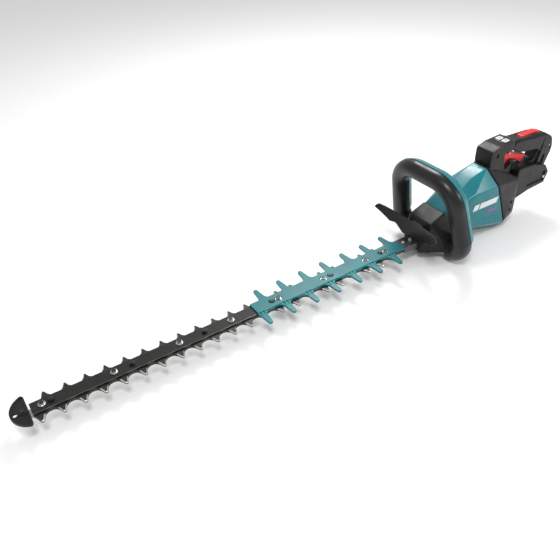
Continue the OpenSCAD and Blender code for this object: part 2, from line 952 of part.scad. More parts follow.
// sections across the tube as [outwards, rearwards]
function disc(r) = [for (a = [0:15:345]) r * [cos(a), sin(a)]];
function front_part(r, n1) = [for (p = disc(r)) [p[0], min(n1, p[1])]];
function back_part(r, n0, depth) = [
    for (p = disc(r))
    let (n = p[1] <= 0 ? 0 : p[1] / r)
    [p[0] * (1 - 0.14 * n), max(n0, n * depth)]
];

module lean() {
    translate([loop_x0, 0, 0])
        rotate([0, -loop_lean, 0])
            children();
}

// tube along a row of stations, with a section for each station
module sweep(path, sections) {
    m = len(sections[0]);
    last = (len(path) - 1) * m;
    rings = [
        for (i = [0:len(path) - 1])
        for (p = sections[i])
        [p[1], path[i][0] + p[0] * cos(path[i][2]), path[i][1] + p[0] * sin(path[i][2])]
    ];
    sides = [
        for (i = [0:len(path) - 2])
        for (j = [0:m - 1])
        [i * m + j, i * m + (j + 1) % m, (i + 1) * m + (j + 1) % m, (i + 1) * m + j]
    ];
    lean()
        polyhedron(rings, concat(sides, [[for (j = [m - 1:-1:0]) j], [for (j = [0:m - 1]) last + j]]));
}

// one section all the way round the loop
module sweep_loop(half, section) {
    path = concat(half, mirrored(half));
    sweep(path, [for (s = path) section]);
}

module front_grip() {
    step = [[leg_low[0], leg_low[1] + 0.05, leg_path[0][2]]];
    half = concat(foot_path, [leg_path[0]], step, [for (i = [1:len(leg_path) - 1]) leg_path[i]], corner_path);
    path = concat(half, mirrored(half));
    full_count = len(foot_path) + 1;
    color(black)
        difference() {
            sweep(path, [
                for (i = [0:len(path) - 1])
                i < full_count || i >= len(path) - full_count ? disc(loop_r) : front_part(loop_r, grip_split)
            ]);
            sweep_loop(
                concat(foot_path, leg_path, corner_path),
                front_part(loop_r - loop_wall, grip_split - 2)
            );
            side_rods(foot_screw, 110, 5);
            box([-90, 40], [-foot_end_y, foot_end_y], [-5, 60]);
        }
}

module handle_backing() {
    inner = [for (i = [1:len(leg_path) - 1]) leg_path[i]];
    low = [leg_low[0], leg_low[1] + 0.35, leg_path[0][2]];
    color(teal)
        difference() {
            sweep_loop(concat([low], inner, corner_path), back_part(loop_r, grip_split + 0.05, loop_back));
            sweep_loop(concat(inner, corner_path), back_part(loop_r - loop_wall, 0, loop_back - loop_wall));
        }
}

// space for the foot of the loop where it seats in the front housing
module foot_seat() {
    lean()
        for (s = [0, 1])
            mirror([0, s, 0])
                translate([0, foot_at[0], foot_at[1]])
                    rotate([90, 0, 90])
                        rotate_extrude(angle = -88, $fn = 96)
                            translate([foot_r, 0])
                                circle(r = loop_r + 0.3);
}

module handle_screws() {
    color(steel)
        side_rods(foot_screw, foot_screw[2] + 2.5, 3.8);
}

// ---------- motor housing ----------

function seam_section(d) = soft([
    [-top_w + d / 2, -d, 4], [top_w - d / 2, -d, 4], [31 - d, -20, 6], [body_w - d, -40, 8],
    [body_w - d, -seam_len + 26, 8], [body_w - 10 - d, -seam_len + 8, 6], [body_w - 20 - d, -seam_len + d, 4],
    [-body_w + 20 + d, -seam_len + d, 4], [-body_w + 10 + d, -seam_len + 8, 6],
    [-body_w + d, -seam_len + 26, 8],
    [-body_w + d, -40, 8], [-31 + d, -20, 6]
], 3);

// slab of the seam section, ahead (negative) of the seam plane by offset
module seam_slab(d, offset, t) {
    translate([seam_x, 0, seam_h])
        rotate([0, -seam_lean, 0])
            translate([offset, 0, 0])
                rotate([90, 0, 90])
                    linear_extrude(t)
                        polygon(seam_section(d));
}

module motor_block(d) {
    hull($fn = hull_fn) {
        seam_slab(d, -gasket_t / 2 - 1, 1);
        plate_x([58, 0, 84], 2 * (body_w - 1 - d), 88 - d, 10);
        plate_x([64, 0, 128 - d], 2 * (20 - d / 2), 36, 6);
        plate_x([30, 0, 78], 2 * (body_w - 3 - d), 44 - d, 10);
        plate_x([-14 + d / 2, 0, crown_z - 14 - d], 60 - 2 * d, 28, 8);
    }
}

module motor_housing() {
    difference() {
        motor_block(0);
        intersection() {
            motor_block(wall);
            union() {
                box([10, 400], [-60, 60], [case_roof_z, 250]);
                box([motor_x + motor_bearing_r + case_wall + 6, 400], [-60, 60], [0, 250]);
            }
        }
        seam_slab(wall + 1, -gasket_t / 2 - 12, 20);
        nose_block(-0.2);
        translate([0, 0, -1])
            linear_extrude(case_roof_z + 1.1)
                case_plan(case_wall + 0.4);
        rod_z(0, 0, gear_z, case_top + 0.5, bearing_r + 3.6);
        for (p = case_screws)
            rod_z(p[0], p[1], -1, case_split + 12, post_r + 1.1);
        motor_space();
    }
}

// room for the motor and its bracket under the roof of the housing
module motor_space() {
    low = case_top - 4;
    rod_z(motor_x, 0, low, stator_z + stator_len + 1.5, stator_r + 2);
    rod_z(motor_x, 0, low, bracket_z + bracket_h + 2, motor_bearing_r + 5);
    box([motor_x - 6, motor_x + 6], [-stator_r - 6, stator_r + 6], [low, bracket_z + 4]);
}

// air slots through the belly of the motor housing
module vents(s) {
    for (k = [0:3])
        box([112 + 8 * k, 115 + 8 * k], [min(s * 8, s * 26), max(s * 8, s * 26)], [-5, 30]);
}

module motor_housing_left() {
    color(teal)
        difference() {
            left_half()
                motor_housing();
            vents(-1);
        }
}

module motor_housing_right() {
    color(teal)
        difference() {
            right_half()
                motor_housing();
            vents(1);
        }
}

module seam_gasket() {
    color([0.03, 0.03, 0.03])
        difference() {
            seam_slab(1.2, -gasket_t / 2, gasket_t);
            seam_slab(wall + 3, -10, 20);
            box([0, 400], [-60, 60], [-20, 0.3]);
        }
}

// ---------- rear housing ----------

// outline of the D handle seen from the side
function handle_outline() = soft([
    [seam_at(150) + 3, 150, 0], [112, 166, 4], [112, 190, 7], [134, 197, 12], [178, 199, 10],
    [192, 194, 12], [259, 190, 30], [286, 185, 20], [316, 168, 22], [323, 142, 22],
    [304, 92, 6], [238, 84, 0], [seam_at(84) + 3, 84, 0]
], 6);

function handle_hole() = soft([
    [161, 136, 4], [152, 176, 5], [184, 178, 4], [193, 168, 10], [230, 156, 8], [262, 155, 8],
    [274, 150, 6], [266, 128, 6], [250, 128, 10], [212, 131, 8], [189, 152, 4], [182, 150, 5]
], 5);

module rear_body() {
    hull($fn = hull_fn) {
        seam_slab(0, gasket_t / 2, 1);
        plate_x([196, 0, 74], 2 * (body_w - 8), 84, 10);
        plate_x([202, 0, 42], 2 * (body_w - 12), 44, 8);
    }
}

module bay_block() {
    side(soft([
        [190, 60, 4], [238, 69, 8], [292, 72, 3], [301, 96, 6], [286, 116, 8], [240, 130, 10], [196, 132, 8]
    ]), -bay_w - 6, bay_w + 6);
}

module handle_bar() {
    side(handle_outline(), -grip_w + 4, grip_w - 4);
    intersection() {
        side(handle_outline(), -grip_w - 3, grip_w + 3);
        union() {
            box([100, 180], [-30, 30], [120, 215]);
            hull($fn = hull_fn) {
                rod_y(196, 178, -grip_w, grip_w, 12);
                rod_y(284, 166, -grip_w, grip_w, 16);
                rod_y(270, 166, -grip_w, grip_w, 11);
            }
            hull($fn = hull_fn) {
                rod_y(296, 160, -grip_w, grip_w, 12);
                rod_y(300, 146, -grip_w, grip_w, 12);
                rod_y(284, 100, -grip_w, grip_w, 16);
            }
        }
    }
}

module rear_housing() {
    difference() {
        union() {
            difference() {
                rear_body();
                box([90, 400], [-60, 60], [-20, 0]);
                for (s = [-1, 1])
                    side([[100, 160], [128, 146], [176, 156], [240, 156], [240, 230], [100, 230]],
                        min(s * (grip_w + 3), s * 60), max(s * (grip_w + 3), s * 60));
            }
            bay_block();
            handle_bar();
        }
        side(handle_hole(), -30, 30);
        // battery bay, open below and behind
        box([226, 340], [-bay_w, bay_w], [40, 100]);
        for (s = [-1, 1])
            box([232, 290], [min(s * (bay_w + 3), s * 60), max(s * (bay_w + 3), s * 60)], [79, 102]);
        // hollow for the controller and the wires
        hull($fn = hull_fn) {
            seam_slab(wall + 2, gasket_t / 2 - 1, 1);
            plate_x([192, 0, 72], 2 * (body_w - 8 - wall), 80 - 2 * wall, 8);
            plate_x([196, 0, 44], 2 * (body_w - 12 - wall), 44 - 2 * wall, 6);
        }
        box([138, 221], [-grip_w + 4, grip_w - 4], [80, 122]);
        side([[286, 112], [296, 106], [310, 138], [304, 156], [292, 152]], -grip_w + 7, grip_w - 7);
        box([122, 149], [-grip_w, grip_w], [120, panel_h - 8]);
        box([switch_x[0] - 0.2, switch_x[1] + 0.2], [-6.2, 6.2], [switch_z[0] - 3, switch_z[1] + 0.2]);
        side([[283, 106], [289, 104], [296, 132], [290, 134]], -30, 30);
        trigger_well();
        lever_well();
        panel_seat();
        for (p = side_screws)
            for (s = [-1, 1])
                rod_y(p[0], p[1], min(s * p[2], s * 60), max(s * p[2], s * 60), 4.4);
    }
}
side_screws = [[182, 62, 33], [180, 44, 33], [130, 178, 16], [309, 150, 12], [290, 86, 30]];

module rear_housing_left() {
    color(black)
        left_half()
            rear_housing();
}

module rear_housing_right() {
    color(black)
        right_half()
            rear_housing();
}

module housing_screws() {
    color(steel)
        for (p = side_screws)
            rod_y(p[0], p[1], -p[2] - 2, -p[2], 3.4);
}

// ---------- controls ----------

// outline of the trigger seen from the side
function trigger_outline() = soft([
    [163, 158, 3], [167, 169, 5], [184, 175, 4], [200, 160, 6], [218, 153, 6], [237, 149, 2],
    [234, 140, 3], [224, 132, 5], [206, 144, 7], [194, 150, 6], [183, 147, 5], [169, 142, 3]
], 5);

trigger_at = [177, 168];
trigger_coil = [216, 155.6, 167];

module trigger() {
    color(red)
        difference() {
            side(trigger_outline(), -trigger_w, trigger_w);
            rod_y(trigger_at[0], trigger_at[1], -20, 20, pin_r + run_gap);
        }
}

// space that the trigger sweeps, with its pin
module trigger_well() {
    half_w = trigger_w + button_gap;
    side(trigger_space(), -half_w, half_w);
    rod_y(trigger_at[0], trigger_at[1], -trigger_w - 5, trigger_w + 5, pin_r);
    rod_z(trigger_coil[0], 0, 150, trigger_coil[2], 3.6);
}

function trigger_space() = [
    [159, 138], [158, 174], [170, 180], [188, 180], [204, 168], [222, 162.5], [245, 162],
    [245, 140], [224, 127], [206, 137], [186, 140]
];

module trigger_pin() {
    color(steel)
        rod_y(trigger_at[0], trigger_at[1], -trigger_w - 5, trigger_w + 5, pin_r);
}

module coil(x, z0, z1, r, wire) {
    turns = 5;
    for (k = [0:turns - 1])
        translate([x, 0, z0 + wire + (z1 - z0 - 2 * wire) * k / (turns - 1)])
            rotate_extrude()
                translate([r, 0])
                    circle(r = wire);
}

module trigger_spring() {
    color(steel)
        coil(trigger_coil[0], trigger_coil[1], trigger_coil[2], 2.6, 0.6);
}

// outline of the lock-off lever seen from the side
function lever_outline() = soft([
    [215, 187, 2], [219, 193, 3], [262, 193.5, 12], [274, 190, 5], [281, 180, 2], [276, 172, 4],
    [268, 171, 4], [262, 180, 3], [226, 183, 3]
], 5);

lever_at = [272, 177];
lever_coil = [222, 173, 182.8];

module lock_lever() {
    color(red)
        difference() {
            side(lever_outline(), -lever_w, lever_w);
            rod_y(lever_at[0], lever_at[1], -20, 20, pin_r + run_gap);
        }
}

module lever_well() {
    half_w = lever_w + button_gap;
    side([[211, lever_coil[1]], [211, 200], [284, 200], [284, 168], [262, 168]], -half_w, half_w);
    rod_y(lever_at[0], lever_at[1], -lever_w - 4, lever_w + 4, pin_r);
}

module lever_pin() {
    color(steel)
        rod_y(lever_at[0], lever_at[1], -lever_w - 4, lever_w + 4, pin_r);
}

module lever_spring() {
    color(steel)
        coil(lever_coil[0], lever_coil[1], lever_coil[2], 2.6, 0.6);
}

// the panel lies in a seat on top of the box ahead of the grip
panel_tilt = -2.6;
panel_at = [161, 198.4];
module on_panel() {
    translate([panel_at[0], 0, panel_at[1]])
        rotate([0, panel_tilt, 0])
            children();
}

panel_size = [24, 32];
function button_hole() = rounded(button_size[0] + 2 * button_gap, button_size[1] + 2 * button_gap, 2.4);
buttons = [[1.5, 8], [1.5, -8]];
button_size = [14, 12];
button_travel = 1;
button_foot = -3;

module panel_seat() {
    on_panel() {
        translate([0, 0, 5])
            cube([panel_size[0] + 0.2, panel_size[1] + 0.2, 14], center = true);
        for (b = buttons)
            translate([b[0], b[1], button_foot - button_travel - 0.5])
                linear_extrude(8)
                    polygon(button_hole());
    }
}

module control_panel() {
    color([0.16, 0.16, 0.16])
        on_panel()
            difference() {
                translate([0, 0, -0.7])
                    cube([panel_size[0], panel_size[1], 2.6], center = true);
                for (b = buttons)
                    translate([b[0], b[1], -3])
                        linear_extrude(6)
                            polygon(button_hole());
                translate([-9, 0, 0])
                    cube([2.4, 18, 9], center = true);
            }
}

module panel_button(b) {
    on_panel()
        translate([b[0], b[1], button_foot])
            linear_extrude(1.2 - button_foot)
                polygon(rounded(button_size[0], button_size[1], 2));
}

module power_button() {
    color(black)
        panel_button(buttons[0]);
}

module reverse_button() {
    color(black)
        panel_button(buttons[1]);
}

module indicator_lens() {
    color([0.5, 0.8, 0.3])
        on_panel()
            translate([-9, 0, -0.7])
                cube([2.4, 18, 2.6], center = true);
}

// ---------- electrics ----------

board_x = 152;
board_z = 48;

// circuit board with its capacitors, behind the seam
module controller() {
    color([0.1, 0.25, 0.15]) {
        box([board_x, board_x + 34], [-24, 24], [board_z, board_z + 5]);
        for (k = [0:2])
            rod_z(board_x + 8 + 9 * k, 8, board_z + 5, board_z + 17, 4);
    }
}

switch_x = [172, 192];
switch_z = [180, 189];

// switch over the trigger, with its plunger just above the trigger's back
module switch() {
    color([0.15, 0.15, 0.15])
        box(switch_x, [-6, 6], switch_z);
    color(red)
        rod_z(186, 0, switch_z[0] - 2.6, switch_z[0], 1.5);
}

module battery_rails() {
    color([0.3, 0.3, 0.3])
        for (s = [-1, 1])
            box([240, 290], [min(s * (bay_w - 4), s * bay_w), max(s * (bay_w - 4), s * bay_w)], [75, 79]);
}

module battery_terminal() {
    color([0.2, 0.2, 0.2])
        box([226, 236], [-18, 18], [80, 99]);
    color([0.8, 0.6, 0.3])
        for (y = [-12, -4, 4, 12])
            box([236, 252], [y - 0.5, y + 0.5], [84, 96]);
}

wire_r = 1.5;

// three phase wires from the stator to the circuit board
module motor_wires() {
    top = stator_z + 8;
    bend_x = board_x - 12;
    end_x = board_x + 10;
    end_z = board_z + 5;
    color(red)
        for (y = [-18, -12, -6]) {
            start_x = motor_x + sqrt(stator_r * stator_r - y * y) + 1.6;
            side([
                [start_x, top - wire_r], [bend_x - wire_r / 2, top - wire_r], [end_x - wire_r, end_z],
                [end_x + wire_r, end_z], [bend_x + wire_r / 2, top + wire_r], [start_x, top + wire_r]
            ], y - wire_r, y + wire_r);
        }
}

guide_bar();
upper_shear_blade();
lower_shear_blade();
blade_cover();
tip_bracket();
tip_guard();
guard_rivet();
blade_bolts();
lock_nuts();
guide_nuts();
bolt_sleeves();
blade_holder();
holder_screws();
gear_case_lower();
gear_case_upper();
front_housing();
hand_guard();
front_screws();
crank_shaft();
crank_gear();
upper_connecting_rod();
lower_connecting_rod();
upper_drive_pin();
lower_drive_pin();
crank_bearings();
motor_bearings();
pinion();
motor_shaft();
rotor();
fan();
stator();
motor_bracket();
motor_housing_left();
motor_housing_right();
seam_gasket();
front_grip();
handle_backing();
handle_screws();
controller();
rear_housing_left();
rear_housing_right();
housing_screws();
control_panel();
power_button();
reverse_button();
indicator_lens();
trigger();
trigger_pin();
trigger_spring();
lock_lever();
lever_pin();
lever_spring();
switch();
battery_rails();
battery_terminal();
motor_wires();
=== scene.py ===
# Looks of the cordless hedge trimmer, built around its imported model.
import json
import math

import bmesh
import bpy
from mathutils import Matrix, Vector
from mathutils.bvhtree import BVHTree


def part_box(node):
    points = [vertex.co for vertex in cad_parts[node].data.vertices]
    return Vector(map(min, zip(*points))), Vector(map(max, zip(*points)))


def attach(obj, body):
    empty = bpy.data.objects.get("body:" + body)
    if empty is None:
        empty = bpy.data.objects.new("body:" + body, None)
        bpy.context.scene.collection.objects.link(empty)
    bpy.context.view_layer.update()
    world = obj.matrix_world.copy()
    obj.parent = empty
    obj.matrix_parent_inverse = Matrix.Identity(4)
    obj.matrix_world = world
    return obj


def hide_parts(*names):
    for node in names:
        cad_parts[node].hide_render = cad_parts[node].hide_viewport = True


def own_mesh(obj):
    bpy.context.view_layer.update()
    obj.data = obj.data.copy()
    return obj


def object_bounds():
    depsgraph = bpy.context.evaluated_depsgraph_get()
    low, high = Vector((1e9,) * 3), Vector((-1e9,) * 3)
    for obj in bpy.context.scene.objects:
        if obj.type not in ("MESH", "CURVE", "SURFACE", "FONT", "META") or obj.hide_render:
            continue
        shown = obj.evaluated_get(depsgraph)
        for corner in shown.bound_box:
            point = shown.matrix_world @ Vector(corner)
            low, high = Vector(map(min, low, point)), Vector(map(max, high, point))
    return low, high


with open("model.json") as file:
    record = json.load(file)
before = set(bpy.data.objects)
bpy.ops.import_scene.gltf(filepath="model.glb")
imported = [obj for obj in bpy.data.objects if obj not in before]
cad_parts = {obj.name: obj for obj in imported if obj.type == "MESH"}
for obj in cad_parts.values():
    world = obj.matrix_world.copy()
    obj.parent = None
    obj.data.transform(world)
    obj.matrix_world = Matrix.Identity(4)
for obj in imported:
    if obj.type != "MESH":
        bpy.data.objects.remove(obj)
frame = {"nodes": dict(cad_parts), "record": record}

MM = 0.001
cad_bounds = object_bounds()
nodes = frame["nodes"]
body_of = {n: b for b, members in frame["record"]["behaviour"]["bodies"].items() for n in members}
collection = bpy.context.scene.collection


# ---------- finishes ----------

def blank_finish(name):
    material = bpy.data.materials.new(name)
    material.use_nodes = True
    tree = material.node_tree
    return material, tree, tree.nodes["Principled BSDF"]


def place(tree, stretch=(1, 1, 1)):
    """Object coordinates, stretched to draw a grain out along an axis."""
    where = tree.nodes.new("ShaderNodeTexCoord")
    mapping = tree.nodes.new("ShaderNodeMapping")
    mapping.inputs["Scale"].default_value = stretch
    tree.links.new(where.outputs["Object"], mapping.inputs["Vector"])
    return mapping.outputs["Vector"]


def noise(tree, vector, size, detail=3.0, rough=0.55):
    """Cloudy pattern whose blots are about `size` millimetres across."""
    node = tree.nodes.new("ShaderNodeTexNoise")
    node.inputs["Scale"].default_value = 1 / (size * MM)
    node.inputs["Detail"].default_value = detail
    node.inputs["Roughness"].default_value = rough
    tree.links.new(vector, node.inputs["Vector"])
    return node.outputs["Fac"]


def span(tree, value, low, high, out_low, out_high):
    node = tree.nodes.new("ShaderNodeMapRange")
    node.inputs["From Min"].default_value = low
    node.inputs["From Max"].default_value = high
    node.inputs["To Min"].default_value = out_low
    node.inputs["To Max"].default_value = out_high
    tree.links.new(value, node.inputs["Value"])
    return node.outputs["Result"]


def mix(tree, share, first, second):
    """Blend of two colours; either may be a socket."""
    node = tree.nodes.new("ShaderNodeMix")
    node.data_type = "RGBA"
    tree.links.new(share, node.inputs[0])
    for socket, colour in ((node.inputs[6], first), (node.inputs[7], second)):
        if isinstance(colour, tuple):
            socket.default_value = (*colour, 1)
        else:
            tree.links.new(colour, socket)
    return node.outputs[2]


def relief(tree, shader, heights):
    """Stack of bumps, each a pattern and its depth in millimetres."""
    normal = None
    for height, depth in heights:
        bump = tree.nodes.new("ShaderNodeBump")
        bump.inputs["Strength"].default_value = 1.0
        bump.inputs["Distance"].default_value = depth * MM
        tree.links.new(height, bump.inputs["Height"])
        if normal:
            tree.links.new(normal, bump.inputs["Normal"])
        normal = bump.outputs["Normal"]
    tree.links.new(normal, shader.inputs["Normal"])


def moulded(name, colour, rough, grain=0.5, depth=0.02, cloud=0.12, coat=0.0, sheen=0.0, shine=0.35):
    """Moulded plastic or rubber: eroded tool grain, faint flow clouds and handling gloss."""
    material, tree, shader = blank_finish(name)
    vector = place(tree)
    clouds = span(tree, noise(tree, vector, 38, 2), 0.3, 0.7, 0, 1)
    specks = noise(tree, vector, grain * 2.4, 2)
    darker = tuple(c * (1 - cloud) for c in colour)
    lighter = tuple(min(1, c * (1 + cloud) + 0.001) for c in colour)
    tree.links.new(mix(tree, clouds, darker, lighter), shader.inputs["Base Color"])
    handled = noise(tree, vector, 21, 3)
    tree.links.new(span(tree, handled, 0.3, 0.7, rough - 0.05, rough + 0.06), shader.inputs["Roughness"])
    relief(tree, shader, [(specks, depth), (noise(tree, vector, grain, 2), depth * 0.6)])
    shader.inputs["Specular IOR Level"].default_value = shine
    shader.inputs["Coat Weight"].default_value = coat
    shader.inputs["Coat Roughness"].default_value = 0.22
    shader.inputs["Sheen Weight"].default_value = sheen
    return material


def metal(name, colour, rough, brush=(1, 1, 1), grain=0.3, depth=0.008, blot=0.2, whole=1.0):
    """Bare or coated metal: machining lines drawn out along an axis, and faint staining."""
    material, tree, shader = blank_finish(name)
    lines = noise(tree, place(tree, brush), grain, 3, 0.65)
    stains = noise(tree, place(tree), 16, 4)
    share = span(tree, stains, 0.35, 0.7, 0, 1)
    darker = tuple(c * (1 - blot) for c in colour)
    base = mix(tree, share, darker, colour)
    streaks = span(tree, lines, 0.25, 0.75, 0, 0.35)
    lit = tuple(min(1, c * 1.25) for c in colour)
    tree.links.new(mix(tree, streaks, base, lit), shader.inputs["Base Color"])
    tree.links.new(span(tree, lines, 0.25, 0.75, rough - 0.07, rough + 0.1), shader.inputs["Roughness"])
    relief(tree, shader, [(lines, depth)])
    shader.inputs["Metallic"].default_value = whole
    return material


def laminated(name, colour):
    """Stacked iron sheets with varnish between them."""
    material, tree, shader = blank_finish(name)
    bands = tree.nodes.new("ShaderNodeTexWave")
    bands.bands_direction = "Z"
    bands.inputs["Scale"].default_value = 320
    bands.inputs["Distortion"].default_value = 0.3
    tree.links.new(place(tree), bands.inputs["Vector"])
    dark = tuple(c * 0.4 for c in colour)
    tree.links.new(mix(tree, bands.outputs["Fac"], dark, colour), shader.inputs["Base Color"])
    relief(tree, shader, [(bands.outputs["Fac"], 0.05)])
    shader.inputs["Metallic"].default_value = 0.8
    shader.inputs["Roughness"].default_value = 0.45
    return material


def etched_board(name):
    """Solder mask with copper tracks showing through."""
    material, tree, shader = blank_finish(name)
    tracks = tree.nodes.new("ShaderNodeTexBrick")
    tracks.inputs["Scale"].default_value = 160
    tracks.inputs["Mortar Size"].default_value = 0.03
    tracks.inputs["Color1"].default_value = (0.004, 0.05, 0.02, 1)
    tracks.inputs["Color2"].default_value = (0.005, 0.06, 0.025, 1)
    tracks.inputs["Mortar"].default_value = (0.2, 0.14, 0.03, 1)
    tree.links.new(place(tree), tracks.inputs["Vector"])
    tree.links.new(tracks.outputs["Color"], shader.inputs["Base Color"])
    relief(tree, shader, [(tracks.outputs["Fac"], 0.03)])
    shader.inputs["Roughness"].default_value = 0.3
    return material


teal_nylon = moulded("teal_nylon", (0.001, 0.142, 0.166), 0.3, 0.5, 0.01, 0.08, coat=0.12)
teal_cover = moulded("teal_cover_nylon", (0.0008, 0.13, 0.146), 0.36, 0.45, 0.016, 0.12, coat=0.05)
# lighter copy of the teal, laid on rounded edges as a painted edge highlight
teal_edge_highlight = moulded("teal_painted_edge_highlight", (0.006, 0.17, 0.19), 0.32, 0.5, 0.01, 0.1)
black_nylon = moulded("black_eroded_nylon", (0.0058, 0.0056, 0.0055), 0.43, 0.42, 0.025, 0.2, shine=0.28)
black_gloss = moulded("black_polished_nylon", (0.005, 0.0048, 0.0047), 0.26, 0.6, 0.008, 0.15,
                      coat=0.1, shine=0.3)
# lighter copy of the black, laid on rounded edges as a painted edge highlight
black_edge_highlight = moulded("black_painted_edge_highlight", (0.014, 0.014, 0.014), 0.34, 0.5, 0.01, 0.2)
grip_rubber = moulded("soft_grip_rubber", (0.0045, 0.0043, 0.0042), 0.31, 0.7, 0.018, 0.2,
                      sheen=0.04, shine=0.34)
panel_film = moulded("panel_film", (0.007, 0.007, 0.0075), 0.3, 0.6, 0.006, 0.1, coat=0.1)
pale_film = moulded("pale_printed_film", (0.62, 0.62, 0.61), 0.36, 0.6, 0.005, 0.03)
violet_film = moulded("violet_printed_film", (0.2, 0.07, 0.24), 0.34, 0.6, 0.005, 0.05)
gasket = moulded("gasket_rubber", (0.003, 0.003, 0.003), 0.6, 0.6, 0.03, 0.2, shine=0.2)
red_nylon = moulded("red_nylon", (0.56, 0.012, 0.01), 0.33, 0.5, 0.012, 0.08, coat=0.1)
lens_green = moulded("lens_green", (0.04, 0.16, 0.03), 0.12, 1.0, 0.002, 0.05, coat=0.8)
nylon_ring = moulded("nylon_ring", (0.02, 0.025, 0.03), 0.42, 0.4, 0.01, 0.1)
blade_plate = metal("blade_plate", (0.07, 0.065, 0.06), 0.4, (0.04, 1, 1), 0.5, 0.01, 0.4)
blade_ground = metal("blade_ground", (0.66, 0.63, 0.59), 0.3, (1, 0.05, 0.05), 0.25, 0.01, 0.12)
bar_oxide = metal("bar_black_oxide", (0.022, 0.021, 0.02), 0.42, (0.05, 1, 1), 0.6, 0.012, 0.3, 0.6)
# lighter grey metal laid on the rounded edges of the bar and holder as a painted edge highlight
bar_edge_highlight = metal("bar_painted_edge_highlight", (0.2, 0.2, 0.2), 0.35, (0.05, 1, 1), 0.4, 0.008, 0.3)
dark_steel = metal("dark_steel", (0.07, 0.07, 0.073), 0.38, (1, 1, 0.1), 0.3, 0.008, 0.3)
turned_steel = metal("turned_steel", (0.48, 0.48, 0.5), 0.3, (1, 1, 0.08), 0.25, 0.008, 0.2)
zinc = metal("zinc_plate", (0.6, 0.6, 0.61), 0.3, (1, 1, 1), 0.5, 0.008, 0.25)
holder_steel = metal("holder_steel", (0.17, 0.17, 0.175), 0.42, (0.06, 1, 1), 0.5, 0.012, 0.25)
cast = metal("cast_alloy", (0.045, 0.045, 0.047), 0.5, (1, 1, 1), 0.8, 0.05, 0.25, 0.9)
iron = laminated("stacked_iron", (0.2, 0.19, 0.185))
board = etched_board("etched_board")

node_finish = {
    "guide_bar": bar_oxide, "upper_shear_blade": blade_plate, "lower_shear_blade": blade_plate,
    "blade_cover": teal_cover, "tip_bracket": zinc, "tip_guard": black_nylon, "guard_rivet": dark_steel,
    "blade_bolts": dark_steel, "lock_nuts": zinc, "guide_nuts": dark_steel, "bolt_sleeves": turned_steel,
    "blade_holder": holder_steel, "holder_screws": zinc, "gear_case_lower": cast, "gear_case_upper": cast,
    "front_housing": black_nylon, "hand_guard": black_nylon, "front_screws": zinc,
    "crank_shaft": turned_steel,
    "crank_gear": dark_steel, "upper_connecting_rod": dark_steel, "lower_connecting_rod": dark_steel,
    "upper_drive_pin": turned_steel, "lower_drive_pin": turned_steel, "crank_bearings": turned_steel,
    "motor_bearings": turned_steel, "pinion": dark_steel, "motor_shaft": turned_steel, "rotor": iron,
    "fan": black_gloss, "stator": iron, "motor_bracket": cast, "motor_housing_left": teal_nylon,
    "motor_housing_right": teal_nylon, "seam_gasket": gasket, "front_grip": grip_rubber,
    "handle_backing": teal_nylon, "handle_screws": zinc, "controller": board,
    "rear_housing_left": black_nylon, "rear_housing_right": black_nylon, "housing_screws": zinc,
    "control_panel": panel_film, "power_button": pale_film, "reverse_button": pale_film,
    "indicator_lens": lens_green, "trigger": red_nylon, "trigger_pin": turned_steel,
    "trigger_spring": turned_steel, "lock_lever": red_nylon, "lever_pin": turned_steel,
    "lever_spring": turned_steel, "switch": black_gloss, "battery_rails": black_gloss,
    "battery_terminal": black_gloss, "motor_wires": red_nylon,
}
for name, node in nodes.items():
    node.data.materials.clear()
    node.data.materials.append(node_finish[name])
    node.data.polygons.foreach_set("use_smooth", [False] * len(node.data.polygons))


# ---------- pieces ----------

def settle(bm, name, body, finishes, replaced=(), crease=34, even=True):
    """Turns a bmesh into a piece that rides on a body, with soft shading up to the crease angle."""
    bm.normal_update()
    limit = math.radians(crease)
    for edge in bm.edges:
        edge.smooth = len(edge.link_faces) == 2 and edge.calc_face_angle(0) < limit
    for face in bm.faces:
        face.smooth = True
    mesh = bpy.data.meshes.new(name)
    bm.to_mesh(mesh)
    bm.free()
    for finish in finishes:
        mesh.materials.append(finish)
    piece = bpy.data.objects.new(name, mesh)
    collection.objects.link(piece)
    if even:
        normals = piece.modifiers.new("even_normals", "WEIGHTED_NORMAL")
        normals.keep_sharp = True
    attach(piece, body)
    if replaced:
        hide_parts(*replaced)
    return piece


def copy_of(node, whole_faces=True):
    """Merged copy of a CAD node; whole_faces makes its flat faces one face again."""
    bm = bmesh.new()
    bm.from_mesh(nodes[node].data)
    bmesh.ops.remove_doubles(bm, verts=bm.verts, dist=0.002 * MM)
    if whole_faces:
        bmesh.ops.dissolve_limit(bm, angle_limit=math.radians(0.8), verts=bm.verts, edges=bm.edges)
    return bm


def middle_of(node):
    low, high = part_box(node)
    return (low + high) / 2


def soften(bm, width, chosen, segments=2, material=-1):
    """Rounds the chosen edges."""
    edges = [e for e in bm.edges if len(e.link_faces) == 2 and chosen(e)]
    if edges:
        bmesh.ops.bevel(bm, geom=edges, offset=width * MM, offset_type="OFFSET", affect="EDGES",
                        segments=segments, profile=0.5, material=material, clamp_overlap=False)


def sharp(edge, angle=38, shortest=0.0):
    return edge.calc_face_angle(0) > math.radians(angle) and edge.calc_length() > shortest * MM


def rounded(node, name, finishes, width, angle=38, segments=2, edge_highlight_finish=-1, crease=34):
    """Copy of a CAD node with its sharp edges rounded, which stands for it; the edge finish paints the
    rounded faces with a lighter copy of the finish as a painted edge highlight.
    """
    bm = copy_of(node)
    soften(bm, width, lambda e: sharp(e, angle), segments, edge_highlight_finish)
    return settle(bm, name, body_of[node], finishes, (node,), crease)


